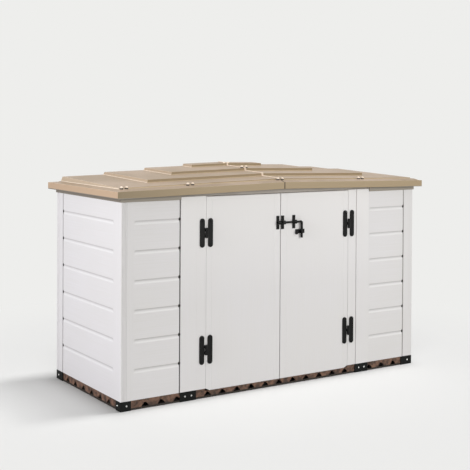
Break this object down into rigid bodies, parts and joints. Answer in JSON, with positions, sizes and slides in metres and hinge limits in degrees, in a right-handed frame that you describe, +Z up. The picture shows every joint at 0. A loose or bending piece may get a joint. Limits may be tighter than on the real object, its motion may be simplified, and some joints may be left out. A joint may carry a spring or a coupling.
{
  "type": "garden storage chest",
  "caption": "Low garden storage cabinet in moulded resin with planked walls, two swing doors, a sliding bolt and a stepped roof",
  "frame": {"origin": "middle of the base of the whole cabinet's bounding box, on the ground", "axes": "+X to the right along the width, as seen from the front; +Y from the front with the doors to the rear; +Z up"},
  "size_m": [2.104, 0.908, 1.2573],
  "materials": {
    "wall_resin": "off-white moulded resin with a faint grain",
    "roof_resin": "sand-brown moulded resin",
    "base_resin": "brown moulded resin",
    "black_plastic": "black moulded plastic",
    "black_metal": "black powder coat",
    "steel": "zinc-plated steel"
  },
  "bodies": {
    "cabinet": {"floor_left": "base_resin", "floor_right": "base_resin", "floor_runners_left": "base_resin", "floor_runners_right": "base_resin", "plinth_front": "base_resin", "plinth_rear": "base_resin", "plinth_left": "base_resin", "plinth_right": "base_resin", "foot_front_left": "black_plastic", "foot_front_right": "black_plastic", "foot_rear_left": "black_plastic", "foot_rear_right": "black_plastic", "foot_door_left": "black_plastic", "foot_door_right": "black_plastic", "foot_rear_middle": "black_plastic", "foot_screws": "steel", "corner_post_front_left": "wall_resin", "corner_post_front_right": "wall_resin", "corner_post_rear_left": "wall_resin", "corner_post_rear_right": "wall_resin", "door_post_left": "wall_resin", "door_post_right": "wall_resin", "jamb_left": "wall_resin", "jamb_right": "wall_resin", "rear_post": "wall_resin", "front_panel_left": "wall_resin", "front_panel_right": "wall_resin", "side_panel_left": "wall_resin", "side_panel_right": "wall_resin", "rear_panel_left": "wall_resin", "rear_panel_right": "wall_resin", "lintel": "wall_resin", "rail_left": "wall_resin", "rail_right": "wall_resin", "rail_rear": "wall_resin", "roof_beam": "wall_resin", "roof_left": "roof_resin", "roof_right": "roof_resin", "seam_cap": "roof_resin", "roof_screws": "roof_resin", "hinge_plate_left_upper": "black_metal", "hinge_plate_left_lower": "black_metal", "hinge_plate_right_upper": "black_metal", "hinge_plate_right_lower": "black_metal", "hinge_pins": "black_metal", "jamb_screws": "black_metal"},
    "left_leaf": {"left_door": "wall_resin", "hinge_leaf_left_upper": "black_metal", "hinge_leaf_left_lower": "black_metal", "left_door_screws": "black_metal", "bolt_keeper": "black_metal"},
    "right_leaf": {"right_door": "wall_resin", "hinge_leaf_right_upper": "black_metal", "hinge_leaf_right_lower": "black_metal", "right_door_screws": "black_metal", "bolt_guide_inner": "black_metal", "bolt_guide_outer": "black_metal", "lock_plate": "black_metal", "lock_ear": "black_metal"},
    "bolt": {"bolt_rod": "black_metal"},
    "handle": {"bolt_handle": "black_metal", "handle_spigot": "black_metal"}
  },
  "joints": [
    {"name": "left_door_hinge", "type": "hinge", "parent": "cabinet", "child": "left_leaf", "pos_m": [-0.497, -0.423, 0.2647], "axis": [0, 0, -1], "range_deg": [0, 160]},
    {"name": "right_door_hinge", "type": "hinge", "parent": "cabinet", "child": "right_leaf", "pos_m": [0.497, -0.423, 0.2647], "axis": [0, 0, 1], "range_deg": [0, 160]},
    {"name": "bolt_slide", "type": "slide", "parent": "right_leaf", "child": "bolt", "axis": [-1, 0, 0], "range_m": [0, 0.026]},
    {"name": "handle_turn", "type": "hinge", "parent": "bolt", "child": "handle", "pos_m": [0.131, -0.428, 0.9343], "axis": [-1, 0, 0], "range_deg": [0, 90]}
  ]
}
